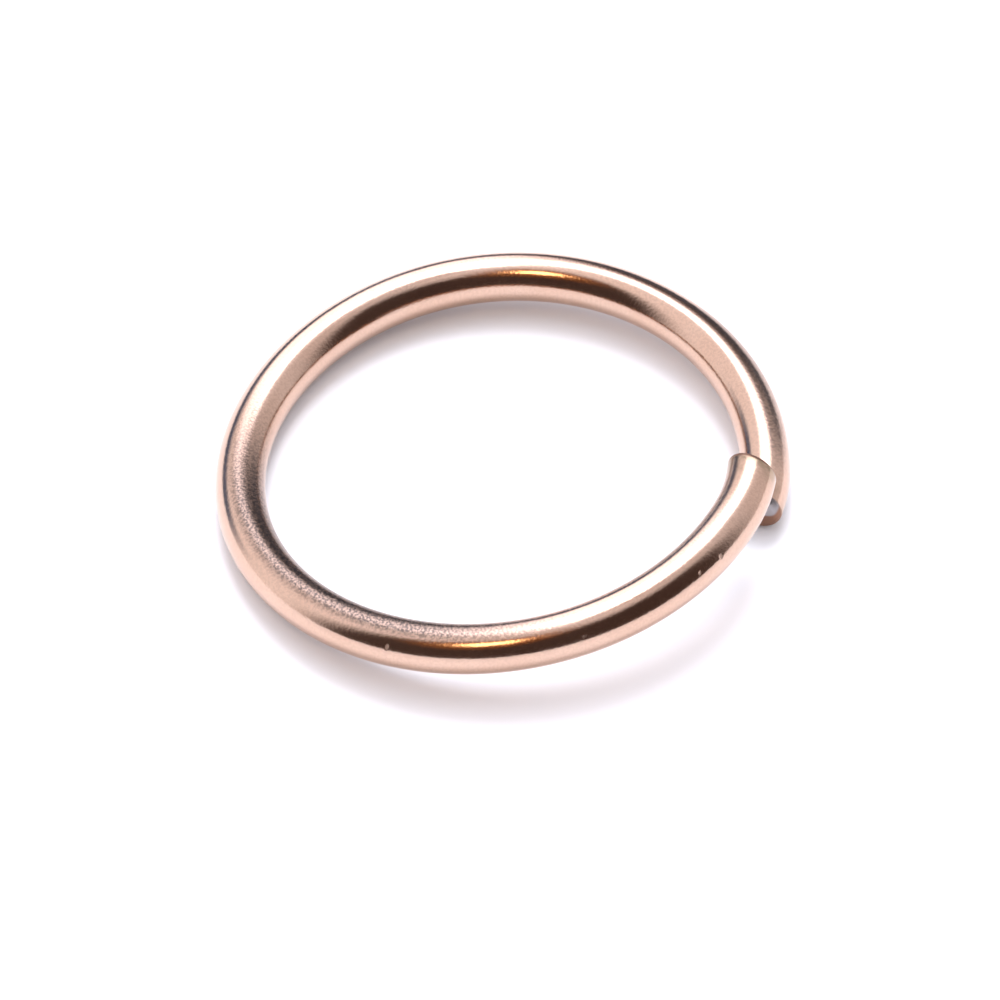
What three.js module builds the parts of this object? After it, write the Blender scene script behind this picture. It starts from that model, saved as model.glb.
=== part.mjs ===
// A seamless nose ring: one length of round wire, coiled once and cut, with its two ends sprung apart.
// Millimetres, +Z up. It lies on its side on the plane z = 0, with the middle of its box over the origin.
import * as THREE from 'three';

// Driving dimensions
const wireDiameter = 0.81;         // 20 gauge wire
const insideDiameter = 7.8;        // nominal 8 mm hoop
const endSpring = 1.12;            // how far one turn climbs, so how far the high end stands above the low one
const lowEndAngle = -11.9;         // where the low end lies in plan, in degrees from +X, anticlockwise
const highEndAngle = 346.6;        // where the high end lies in plan
const rimRadius = 0.12;            // rounding round each cut end

// How the coiled hoop is out of round in plan, as parts of its mean radius
const ovalAlongX = -0.0147;        // a little short from left to right
const ovalDiagonal = 0.0180;       // and long on one diagonal
const threeSided = -0.0051;        // slightly three-sided
const windingIn = -0.0087;         // the radius lost over the whole turn

// How each end was left by the cutters
const lowEndTuck = 0.06;           // the low end is pressed inwards by this, in mm
const lowEndTuckAngle = 10;        // over this much of the turn, in degrees
const highEndTuck = 0.08;
const highEndTuckAngle = 14;
const highEndCutAngle = 20;        // the high end's cut slants, shorter on the outside, by this many degrees
const highEndCutReach = 10;        // and the slant dies away over this much of the turn

// How finely the solid is divided
const sidesRound = 24;
const stepsAlong = 150;
const stepsRoundRim = 3;

const wireRadius = wireDiameter / 2;
const hoopRadius = insideDiameter / 2 + wireRadius;
const { degToRad } = THREE.MathUtils;
const startAngle = degToRad(lowEndAngle);
const sweepAngle = degToRad(highEndAngle - lowEndAngle);
const wireLength = hoopRadius * sweepAngle;
const fullTurn = 2 * Math.PI;
const up = new THREE.Vector3(0, 0, 1);

// Rises smoothly from 0 to 1 over the last part of the way to an end.
function nearEnd(angleLeft, reach) {
  return Math.max(0, 1 - angleLeft / degToRad(reach)) ** 2;
}

// Distance of the wire's centreline from the hoop's middle, where turn is the angle already coiled.
function radiusAt(turn) {
  const planAngle = startAngle + turn;
  const outOfRound = ovalAlongX * Math.cos(2 * planAngle)
    + ovalDiagonal * Math.sin(2 * planAngle)
    + threeSided * Math.sin(3 * planAngle)
    + windingIn * (turn - Math.PI) / fullTurn;
  const lowTuck = lowEndTuck * nearEnd(turn, lowEndTuckAngle);
  const highTuck = highEndTuck * nearEnd(sweepAngle - turn, highEndTuckAngle);
  return hoopRadius * (1 + outOfRound) - lowTuck - highTuck;
}

// Height of the centreline. One turn of a helix climbs evenly. Laid down, it leans until it rests on
// its low end and on the point opposite, and the two leaning terms are that lean.
function heightAt(turn) {
  const climb = endSpring * turn / fullTurn;
  const leanAlong = endSpring / 4 * (Math.cos(turn) - 1);
  const leanAcross = endSpring / fullTurn * Math.sin(turn);
  return wireRadius + climb + leanAlong + leanAcross;
}

function centrelineAt(turn) {
  const radius = radiusAt(turn);
  const planAngle = startAngle + turn;
  return new THREE.Vector3(radius * Math.cos(planAngle), radius * Math.sin(planAngle), heightAt(turn));
}

// A straight wire along +Y with a flat face and a rounded rim at each end.
function straightWire() {
  const faceRadius = wireRadius - rimRadius;
  const rim = new THREE.Path();
  rim.absarc(faceRadius, rimRadius, rimRadius, -Math.PI / 2, 0);
  const startOfWire = rim.getPoints(stepsRoundRim);
  const endOfWire = startOfWire.map(p => new THREE.Vector2(p.x, wireLength - p.y)).reverse();
  const length = wireLength - 2 * rimRadius;
  const side = [];
  for (let step = 1; step < stepsAlong; step += 1) {
    side.push(new THREE.Vector2(wireRadius, rimRadius + length * step / stepsAlong));
  }
  const middleOfFace = [new THREE.Vector2(0, 0)];
  const middleOfOtherFace = [new THREE.Vector2(0, wireLength)];
  const profile = [].concat(middleOfFace, startOfWire, side, endOfWire, middleOfOtherFace);
  return new THREE.LatheGeometry(profile, sidesRound);
}

// Bends the straight wire onto the hoop's centreline. Each section stays round and square to the wire,
// apart from those that lean with the slanting cut.
function bendIntoHoop(geometry) {
  const position = geometry.getAttribute('position');
  const smallTurn = 1e-4;
  for (let i = 0; i < position.count; i += 1) {
    const turn = position.getY(i) / wireLength * sweepAngle;
    const along = centrelineAt(turn + smallTurn).sub(centrelineAt(turn - smallTurn)).normalize();
    const outward = new THREE.Vector3().crossVectors(along, up).normalize();
    const upward = new THREE.Vector3().crossVectors(outward, along);
    const point = centrelineAt(turn);
    point.addScaledVector(outward, position.getX(i));
    point.addScaledVector(upward, position.getZ(i));
    const slant = Math.tan(degToRad(highEndCutAngle)) * nearEnd(sweepAngle - turn, highEndCutReach);
    point.addScaledVector(along, -slant * position.getX(i));
    position.setXYZ(i, point.x, point.y, point.z);
  }
  geometry.computeVertexNormals();
  return geometry;
}

// Sets the lowest point on the surface and the middle of the plan over the origin.
function restOnOrigin(geometry) {
  geometry.computeBoundingBox();
  const box = geometry.boundingBox;
  const middle = box.getCenter(new THREE.Vector3());
  geometry.translate(-middle.x, -middle.y, -box.min.z);
  return geometry;
}

const roseGold = new THREE.MeshStandardMaterial({ color: '#f2c9b4', roughness: 0.2, metalness: 1 });

const hoop = new THREE.Mesh(restOnOrigin(bendIntoHoop(straightWire())), roseGold);
hoop.name = 'hoop';

const noseRing = new THREE.Group();
noseRing.add(hoop);

export default noseRing;
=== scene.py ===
"""A seamless nose ring of round wire in worn rose-gold plate, lying on white card in soft studio light."""

import math

import bpy
import numpy as np
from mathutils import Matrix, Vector


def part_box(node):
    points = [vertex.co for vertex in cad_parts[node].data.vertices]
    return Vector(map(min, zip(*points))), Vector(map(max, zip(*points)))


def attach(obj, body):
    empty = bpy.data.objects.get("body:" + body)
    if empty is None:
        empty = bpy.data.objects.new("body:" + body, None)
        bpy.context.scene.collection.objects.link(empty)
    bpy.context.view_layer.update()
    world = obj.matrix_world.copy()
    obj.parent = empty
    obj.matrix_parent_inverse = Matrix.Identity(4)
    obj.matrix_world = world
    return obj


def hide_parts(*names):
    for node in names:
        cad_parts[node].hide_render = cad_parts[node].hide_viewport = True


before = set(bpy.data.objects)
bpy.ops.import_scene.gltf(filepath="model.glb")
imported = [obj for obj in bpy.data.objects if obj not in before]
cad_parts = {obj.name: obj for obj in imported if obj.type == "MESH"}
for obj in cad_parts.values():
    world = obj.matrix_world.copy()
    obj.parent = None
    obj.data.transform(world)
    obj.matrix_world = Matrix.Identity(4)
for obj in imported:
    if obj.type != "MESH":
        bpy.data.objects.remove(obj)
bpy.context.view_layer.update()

MM = 0.001

# ---------------------------------------------------------------- the wire and how it was coiled
# The same driving dimensions as the solid hoop.
WIRE_RADIUS = 0.81 / 2 * MM
INSIDE_RADIUS = 7.8 / 2 * MM
HOOP_RADIUS = INSIDE_RADIUS + WIRE_RADIUS
END_SPRING = 1.12 * MM
LOW_END = math.radians(-11.9)
HIGH_END = math.radians(346.6)
SWEEP = HIGH_END - LOW_END
WIRE_LENGTH = HOOP_RADIUS * SWEEP
RIM_RADIUS = 0.12 * MM

OVAL_ALONG_X = -0.0147
OVAL_DIAGONAL = 0.0180
THREE_SIDED = -0.0051
WINDING_IN = -0.0087
LOW_END_TUCK, LOW_END_TUCK_ANGLE = 0.06 * MM, 10
HIGH_END_TUCK, HIGH_END_TUCK_ANGLE = 0.08 * MM, 14
HIGH_END_CUT_ANGLE, HIGH_END_CUT_REACH = 20, 10

# How finely the smooth hoop is divided
SIDES_ROUND = 96
STEPS_ALONG = 720
STEPS_ROUND_RIM = 8
STEPS_ACROSS_FACE = 10


def near_end(angle_left, reach):
    """Rises smoothly from 0 to 1 over the last part of the way to an end."""
    return np.maximum(0, 1 - angle_left / math.radians(reach)) ** 2


def centreline(turn):
    """Points on the middle of the wire, where turn is the angle already coiled."""
    plan = LOW_END + turn
    out_of_round = (OVAL_ALONG_X * np.cos(2 * plan) + OVAL_DIAGONAL * np.sin(2 * plan)
                    + THREE_SIDED * np.sin(3 * plan) + WINDING_IN * (turn - math.pi) / math.tau)
    radius = (HOOP_RADIUS * (1 + out_of_round)
              - LOW_END_TUCK * near_end(turn, LOW_END_TUCK_ANGLE)
              - HIGH_END_TUCK * near_end(SWEEP - turn, HIGH_END_TUCK_ANGLE))
    climb = END_SPRING * turn / math.tau
    lean = END_SPRING / 4 * (np.cos(turn) - 1) + END_SPRING / math.tau * np.sin(turn)
    return np.stack([radius * np.cos(plan), radius * np.sin(plan), WIRE_RADIUS + climb + lean], axis=-1)


# ---------------------------------------------------------------- the hoop's mesh
def wire_profile():
    """(distance from the axis, distance along the wire, is it bare core) from one cut face to the other."""
    face_radius = WIRE_RADIUS - RIM_RADIUS
    face = [(face_radius * i / STEPS_ACROSS_FACE, 0.0) for i in range(1, STEPS_ACROSS_FACE)]
    rim = [(face_radius + RIM_RADIUS * math.sin(a), RIM_RADIUS * (1 - math.cos(a)))
           for a in np.linspace(0, math.pi / 2, STEPS_ROUND_RIM + 1)]
    near = face + rim
    far = [(r, WIRE_LENGTH - s) for r, s in reversed(near)]
    side = [(WIRE_RADIUS, RIM_RADIUS + (WIRE_LENGTH - 2 * RIM_RADIUS) * i / STEPS_ALONG)
            for i in range(1, STEPS_ALONG)]
    return np.array(near + side + far)


def straight_wire_points():
    """The straight wire before it was coiled: x across, y along, z up, one row of points for each section."""
    profile = wire_profile()
    angles = np.arange(SIDES_ROUND) * math.tau / SIDES_ROUND
    across = profile[:, 0:1] * np.cos(angles)
    height = profile[:, 0:1] * np.sin(angles)
    along = np.repeat(profile[:, 1:2], SIDES_ROUND, axis=1)
    return np.stack([across, along, height], axis=-1)


def coil(points):
    """Bends points of the straight wire onto the hoop's centreline, square to it, with the slanting cut."""
    turn = points[..., 1] / WIRE_LENGTH * SWEEP
    small = 1e-4
    tangent = centreline(turn + small) - centreline(turn - small)
    tangent /= np.linalg.norm(tangent, axis=-1, keepdims=True)
    outward = np.cross(tangent, (0.0, 0.0, 1.0))
    outward /= np.linalg.norm(outward, axis=-1, keepdims=True)
    upward = np.cross(outward, tangent)
    slant = math.tan(math.radians(HIGH_END_CUT_ANGLE)) * near_end(SWEEP - turn, HIGH_END_CUT_REACH)
    return (centreline(turn)
            + outward * points[..., 0:1]
            + upward * points[..., 2:3]
            - tangent * (slant * points[..., 0])[..., None])


def set_in_place(points):
    """Moves the hoop to where the solid one lies."""
    low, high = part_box("hoop")
    own_low = points.min(axis=0)
    own_middle = (own_low + points.max(axis=0)) / 2
    middle = (low + high) / 2
    return points + np.array([middle.x - own_middle[0], middle.y - own_middle[1], low.z - own_low[2]])


def window(value, low, high, softness):
    """1 between low and high, falling smoothly to 0 outside."""
    rise = np.clip((value - low) / softness + 1, 0, 1)
    fall = np.clip((high - value) / softness + 1, 0, 1)
    return (rise * rise * (3 - 2 * rise)) * (fall * fall * (3 - 2 * fall))


# Small nicks: where in plan in degrees, where round the wire in degrees from its outside over the top,
# length along the wire and width round it in mm
NICKS = (
    (247.4, 32, 0.04, 0.09),
    (286.5, 32, 0.04, 0.04),
    (314.0, 36, 0.045, 0.045),
    (320.0, 32, 0.045, 0.07),
    (232.0, 96, 0.045, 0.045),
)


def wear(points):
    """How much each point has of every kind of wear, from 0 to 1."""
    plan = np.degrees(LOW_END + points[:, 1] / WIRE_LENGTH * SWEEP)
    around = np.degrees(np.arctan2(points[:, 2], points[:, 0]))
    from_low = points[:, 1]
    from_high = WIRE_LENGTH - points[:, 1]
    scuffed = np.maximum.reduce([
        window(plan, 196, 250, 42) * window(around, 80, 150, 26),
        0.55 * window(plan, 8, 38, 14) * window(around, 40, 74, 16),
        0.55 * window(plan, 300, 350, 24) * window(around, 128, 170, 16)])
    tarnished = np.maximum(window(from_high, -1, 0.10 * MM, 0.5 * MM),
                           0.6 * window(from_low, -1, 0.1 * MM, 0.4 * MM))
    # The bare core shows on the low end's face above its middle; the rest of that face, its rim and a ring round
    # the high end's face are brown.
    on_low_face = window(from_low, -1, 0.08 * MM, 0.04 * MM)
    off_centre = np.hypot(points[:, 0] - 0.13 * MM, points[:, 2] - 0.20 * MM)
    on_high_face = window(from_high, -1, 0.08 * MM, 0.05 * MM)
    cut = np.maximum(on_low_face, on_high_face)
    from_axis = np.hypot(points[:, 0], points[:, 2])
    bare = np.maximum(on_low_face * window(off_centre, -1, 0.21 * MM, 0.05 * MM),
                      on_high_face * window(from_axis, -1, 0.22 * MM, 0.05 * MM))
    nicked = np.zeros(len(points))
    for nick_plan, nick_around, length, width in NICKS:
        off_along = np.radians(plan - nick_plan) * HOOP_RADIUS / (length * MM / 2)
        off_around = np.radians(around - nick_around) * WIRE_RADIUS / (width * MM / 2)
        nicked = np.maximum(nicked, np.exp(-off_along ** 2 - off_around ** 2))
    return {"scuffed": scuffed, "tarnished": tarnished, "cut": cut, "bare": bare, "nicked": nicked}


def make_hoop():
    straight = straight_wire_points()
    sections = straight.shape[0]
    centres = np.array([[0.0, 0.0, 0.0], [0.0, WIRE_LENGTH, 0.0]])
    flat_list = np.concatenate([straight.reshape(-1, 3), centres])
    points = set_in_place(coil(flat_list))
    faces = []
    for section in range(sections - 1):
        start = section * SIDES_ROUND
        for side in range(SIDES_ROUND):
            following = (side + 1) % SIDES_ROUND
            faces.append((start + side, start + following,
                          start + SIDES_ROUND + following, start + SIDES_ROUND + side))
    near_centre, far_centre = len(flat_list) - 2, len(flat_list) - 1
    last = (sections - 1) * SIDES_ROUND
    for side in range(SIDES_ROUND):
        following = (side + 1) % SIDES_ROUND
        faces.append((near_centre, following, side))
        faces.append((far_centre, last + side, last + following))
    mesh = bpy.data.meshes.new("hoop_fine")
    mesh.from_pydata([tuple(p) for p in points], [], faces)
    mesh.flip_normals()
    mesh.shade_smooth()
    on_wire = mesh.attributes.new("on_straight_wire", "FLOAT_VECTOR", "POINT")
    on_wire.data.foreach_set("vector", flat_list.astype(np.float32).ravel())
    for name, amount in wear(flat_list).items():
        layer = mesh.attributes.new(name, "FLOAT", "POINT")
        layer.data.foreach_set("value", amount.astype(np.float32))
    piece = bpy.data.objects.new("hoop_fine", mesh)
    bpy.context.scene.collection.objects.link(piece)
    return piece


# ---------------------------------------------------------------- materials
def linear(hex_colour):
    """An sRGB hex colour as linear RGBA."""
    values = [int(hex_colour[i:i + 2], 16) / 255 for i in (1, 3, 5)]
    return [v / 12.92 if v <= 0.04045 else ((v + 0.055) / 1.055) ** 2.4 for v in values] + [1.0]


def add(tree, kind, settings=None, **inputs):
    """Adds a node with its settings. An input is a value, or another node's output to link from."""
    node = tree.nodes.new(kind)
    for name, value in (settings or {}).items():
        setattr(node, name, value)
    for name, value in inputs.items():
        socket = node.inputs[int(name[1:])] if name[1:].isdigit() else node.inputs[name.replace("_", " ")]
        if isinstance(value, bpy.types.NodeSocket):
            tree.links.new(value, socket)
        else:
            socket.default_value = value
    return node


def new_material(name):
    material = bpy.data.materials.new(name)
    material.use_nodes = True
    tree = material.node_tree
    tree.nodes.clear()
    return material, tree


def rose_gold_plate():
    """Steel wire, drawn, polished and plated with rose gold, then worn: the plating is a warm pink mirror
    with a fine sandy grain, duller and browner where it has been rubbed."""
    material, tree = new_material("polished_rose_gold_plate")
    wire = add(tree, "ShaderNodeAttribute", {"attribute_name": "on_straight_wire"}).outputs["Vector"]
    scuffed = add(tree, "ShaderNodeAttribute", {"attribute_name": "scuffed"}).outputs["Fac"]
    tarnished = add(tree, "ShaderNodeAttribute", {"attribute_name": "tarnished"}).outputs["Fac"]
    cut = add(tree, "ShaderNodeAttribute", {"attribute_name": "cut"}).outputs["Fac"]
    bare = add(tree, "ShaderNodeAttribute", {"attribute_name": "bare"}).outputs["Fac"]
    nicked = add(tree, "ShaderNodeAttribute", {"attribute_name": "nicked"}).outputs["Fac"]

    # Patches of slightly thinner and thicker plating, 1.6 mm across
    tone = add(tree, "ShaderNodeTexNoise", Vector=wire, Scale=1 / (1.6 * MM), Detail=3.0, Roughness=0.6)
    plating = add(tree, "ShaderNodeMix", {"data_type": "RGBA"}, _0=tone.outputs["Fac"],
                  _6=linear("#dcb59d"), _7=linear("#ebccb9")).outputs[2]

    # Sandy grain, 0.045 mm across
    grain = add(tree, "ShaderNodeTexNoise", Vector=wire, Scale=1 / (0.045 * MM), Detail=2.0,
                Roughness=0.6).outputs["Fac"]
    speck = add(tree, "ShaderNodeMapRange", {"interpolation_type": "SMOOTHSTEP"}, Value=grain,
                From_Min=0.36, From_Max=0.62).outputs[0]
    # Where it is rubbed, three parts in four of the grains are dull
    rubbed = add(tree, "ShaderNodeMapRange", Value=speck, To_Min=1.0, To_Max=0.6).outputs[0]
    handled = add(tree, "ShaderNodeMapRange", Value=scuffed, To_Min=0.22, To_Max=1.0).outputs[0]
    dull = add(tree, "ShaderNodeMath", {"operation": "MULTIPLY"}, _0=rubbed, _1=handled).outputs[0]
    worn = add(tree, "ShaderNodeMix", {"data_type": "RGBA"}, _0=dull, _6=plating,
               _7=linear("#6a5d58")).outputs[2]

    # Tarnish in blots 0.25 mm across
    blot = add(tree, "ShaderNodeTexNoise", Vector=wire, Scale=1 / (0.25 * MM), Detail=3.0).outputs["Fac"]
    blotted = add(tree, "ShaderNodeMapRange", Value=blot, From_Min=0.35, From_Max=0.6).outputs[0]
    tarnish = add(tree, "ShaderNodeMath", {"operation": "MULTIPLY"}, _0=blotted, _1=tarnished).outputs[0]
    tinted = add(tree, "ShaderNodeMix", {"data_type": "RGBA"}, _0=tarnish, _6=worn,
                 _7=linear("#a5907a")).outputs[2]
    # The cut faces and their rims are brown where the bare core doesn't show
    brown_cut_faces = add(tree, "ShaderNodeMix", {"data_type": "RGBA"}, _0=cut, _6=tinted,
                  _7=linear("#96705c")).outputs[2]
    colour = add(tree, "ShaderNodeMix", {"data_type": "RGBA"}, _0=bare, _6=brown_cut_faces,
                 _7=linear("#b0abac")).outputs[2]

    # Lines left by the drawing die, 0.02 mm apart and 4 mm long
    stretched = add(tree, "ShaderNodeVectorMath", {"operation": "MULTIPLY"}, _0=wire,
                    _1=(1 / (0.03 * MM), 1 / (4 * MM), 1 / (0.03 * MM))).outputs[0]
    lines = add(tree, "ShaderNodeTexNoise", Vector=stretched, Scale=1.0, Detail=1.0).outputs["Fac"]

    smooth = add(tree, "ShaderNodeMapRange", Value=tone.outputs["Fac"], To_Min=0.11, To_Max=0.19).outputs[0]
    rubbed_rough = add(tree, "ShaderNodeMix", _0=scuffed, _2=smooth, _3=0.26).outputs[0]
    nicked_rough = add(tree, "ShaderNodeMix", _0=nicked, _2=rubbed_rough, _3=0.65).outputs[0]
    roughness = add(tree, "ShaderNodeMix", _0=cut, _2=nicked_rough, _3=0.5).outputs[0]

    depth = add(tree, "ShaderNodeMapRange", Value=scuffed, To_Min=0.5, To_Max=1.0).outputs[0]
    sandy = add(tree, "ShaderNodeBump", Strength=depth, Distance=0.0034 * MM, Height=grain).outputs[0]
    drawn = add(tree, "ShaderNodeBump", Strength=0.5, Distance=0.0006 * MM, Height=lines,
                Normal=sandy).outputs[0]
    dented = add(tree, "ShaderNodeBump", {"invert": True}, Strength=1.0, Distance=0.008 * MM,
                 Height=nicked, Normal=drawn).outputs[0]
    metal = add(tree, "ShaderNodeBsdfPrincipled", Base_Color=colour, Metallic=1.0,
                Roughness=roughness, Normal=dented)
    add(tree, "ShaderNodeOutputMaterial", Surface=metal.outputs[0])
    return material


# ---------------------------------------------------------------- the studio
def white_card():
    material, tree = new_material("white_card")
    card = add(tree, "ShaderNodeBsdfPrincipled", Base_Color=linear("#e6e8ef"), Roughness=0.5)
    add(tree, "ShaderNodeOutputMaterial", Surface=card.outputs[0])
    return material


def make_floor():
    size = 3.0
    mesh = bpy.data.meshes.new("floor")
    mesh.from_pydata([(-size, -size, 0), (size, -size, 0), (size, size, 0), (-size, size, 0)], [], [(0, 1, 2, 3)])
    floor = bpy.data.objects.new("floor", mesh)
    bpy.context.scene.collection.objects.link(floor)
    mesh.materials.append(white_card())


def towards(azimuth, elevation):
    """The unit vector to a direction: azimuth 0 is straight behind the hoop, 90 to the right."""
    a, e = math.radians(azimuth), math.radians(elevation)
    return Vector((math.sin(a) * math.cos(e), math.cos(a) * math.cos(e), math.sin(e)))


# What stands round the hoop, painted in this order, each over the last. All in degrees but the brightness:
# name, azimuth of its middle, half its width, softness of its sides, bottom, top, softness of both,
# colour, brightness
DARK_ROOM = ("#ffd6c8", 0.075)
ALL_ROUND = 180
TO_THE_ZENITH = 120
PAST_THE_FLOOR = -40
ROOM = (
    ("ceiling", 0, ALL_ROUND, 1, 68, TO_THE_ZENITH, 26, "#fdfaff", 1.05),
    ("left_wall", -58, 48, 30, PAST_THE_FLOOR, TO_THE_ZENITH, 1, "#fbf6fa", 1.25),
    ("right_wall", 62, 27, 30, PAST_THE_FLOOR, TO_THE_ZENITH, 1, "#fbf6fa", 0.85),
    ("softbox_glow", 3, 38, 50, 46, TO_THE_ZENITH, 36, "#faf7ff", 1.35),
    ("horizon_behind", -18, 46, 26, PAST_THE_FLOOR, 18, 12, "#a8c4f8", 0.28),
    ("dark_behind_right", 20, 24, 18, PAST_THE_FLOOR, 22, 26, "#ccd8f4", 0.17),
    ("strip_behind", -12, 11, 10, 20, TO_THE_ZENITH, 12, "#f4f4ff", 2.6),
    ("softbox", 3, 29, 16, 47, TO_THE_ZENITH, 12, "#f2f3ff", 4.2),
)
# name, azimuth, elevation, half its width, softness of its edge, colour, brightness
LAMPS = (
    ("warm_halo", -157, 61, 14, 20, "#ffa45e", 0.28),
    ("warm_lamp", -157, 62, 6, 5, "#ffcf98", 7.0),
)


def soft_edge(measure, angle, softness):
    """Where a soft edge starts and ends, as sines or cosines of the angles on its two sides."""
    sides = [measure(math.radians(angle + side * softness / 2)) for side in (-1, 1)]
    return min(sides), max(sides)


def bright(tint, brightness):
    """A light's colour, which may be brighter than white."""
    return [c * brightness for c in linear(tint)[:3]] + [1.0]


def make_world():
    """The dark room with its softbox, walls and lamp, as the hoop mirrors it."""
    world = bpy.data.worlds.new("studio")
    bpy.context.scene.world = world
    world.use_nodes = True
    tree = world.node_tree
    tree.nodes.clear()
    smooth_ramp = {"interpolation_type": "SMOOTHSTEP"}
    direction = add(tree, "ShaderNodeTexCoord").outputs["Generated"]
    height = add(tree, "ShaderNodeSeparateXYZ", _0=direction).outputs["Z"]
    level = add(tree, "ShaderNodeVectorMath", {"operation": "MULTIPLY"}, _0=direction, _1=(1, 1, 0))
    bearing = add(tree, "ShaderNodeVectorMath", {"operation": "NORMALIZE"}, _0=level.outputs[0]).outputs[0]
    colour = bright(*DARK_ROOM)
    for name, azimuth, half_width, side_softness, bottom, top, softness, tint, brightness in ROOM:
        low, high = soft_edge(math.sin, bottom, softness)
        mask = add(tree, "ShaderNodeMapRange", smooth_ramp, Value=height, From_Min=low, From_Max=high)
        if top < TO_THE_ZENITH:
            low, high = soft_edge(math.sin, top, softness)
            under_top = add(tree, "ShaderNodeMapRange", smooth_ramp, Value=height,
                            From_Min=low, From_Max=high, To_Min=1.0, To_Max=0.0)
            mask = add(tree, "ShaderNodeMath", {"operation": "MULTIPLY"},
                       _0=mask.outputs[0], _1=under_top.outputs[0])
        if half_width < ALL_ROUND:
            facing = add(tree, "ShaderNodeVectorMath", {"operation": "DOT_PRODUCT"}, _0=bearing,
                         _1=towards(azimuth, 0)).outputs["Value"]
            low, high = soft_edge(math.cos, half_width, side_softness)
            within_sides = add(tree, "ShaderNodeMapRange", smooth_ramp, Value=facing,
                               From_Min=low, From_Max=high)
            mask = add(tree, "ShaderNodeMath", {"operation": "MULTIPLY"},
                       _0=mask.outputs[0], _1=within_sides.outputs[0])
        colour = add(tree, "ShaderNodeMix", {"data_type": "RGBA", "label": name}, _0=mask.outputs[0],
                     _6=colour, _7=bright(tint, brightness)).outputs[2]
    for name, azimuth, elevation, half_width, softness, tint, brightness in LAMPS:
        facing = add(tree, "ShaderNodeVectorMath", {"operation": "DOT_PRODUCT"}, _0=direction,
                     _1=towards(azimuth, elevation)).outputs["Value"]
        low, high = soft_edge(math.cos, half_width, softness)
        mask = add(tree, "ShaderNodeMapRange", smooth_ramp, Value=facing, From_Min=low, From_Max=high)
        colour = add(tree, "ShaderNodeMix", {"data_type": "RGBA", "label": name}, _0=mask.outputs[0],
                     _6=colour, _7=bright(tint, brightness)).outputs[2]
    background = add(tree, "ShaderNodeBackground", Color=colour, Strength=1.0)
    add(tree, "ShaderNodeOutputWorld", Surface=background.outputs[0])


def make_card_light(name, azimuth, elevation, spread, strength):
    """Light for the white card alone, from a disc of sky so many degrees across."""
    light = bpy.data.lights.new(name, "SUN")
    light.angle = math.radians(spread)
    light.energy = strength
    lamp = bpy.data.objects.new(name, light)
    bpy.context.scene.collection.objects.link(lamp)
    lamp.rotation_euler = towards(azimuth, elevation).to_track_quat("Z", "Y").to_euler()
    lamp.visible_glossy = False


def make_lights():
    make_card_light("daylight_from_behind", 4, 57, 30, 1.4)
    make_card_light("daylight_all_round", 0, 90, 180, 2.2)


def make_camera():
    """Looks down at the hoop from the front, from far off through a long macro lens."""
    data = bpy.data.cameras.new("camera")
    data.sensor_width = 36
    data.lens = 382
    data.clip_start = 0.01
    data.clip_end = 10
    data.dof.use_dof = False
    camera = bpy.data.objects.new("camera", data)
    bpy.context.scene.collection.objects.link(camera)
    aim = Vector((-0.047, -0.234, 0.0)) * MM
    distance = 172.2 * MM
    back = towards(180, 45.69)
    camera.location = aim + back * distance
    camera.rotation_euler = back.to_track_quat("Z", "Y").to_euler()
    bpy.context.scene.camera = camera


make_camera()
make_world()
make_lights()
make_floor()

hoop = make_hoop()
hoop.data.materials.append(rose_gold_plate())
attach(hoop, "root")
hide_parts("hoop")

bpy.context.scene.view_settings.view_transform = "Standard"
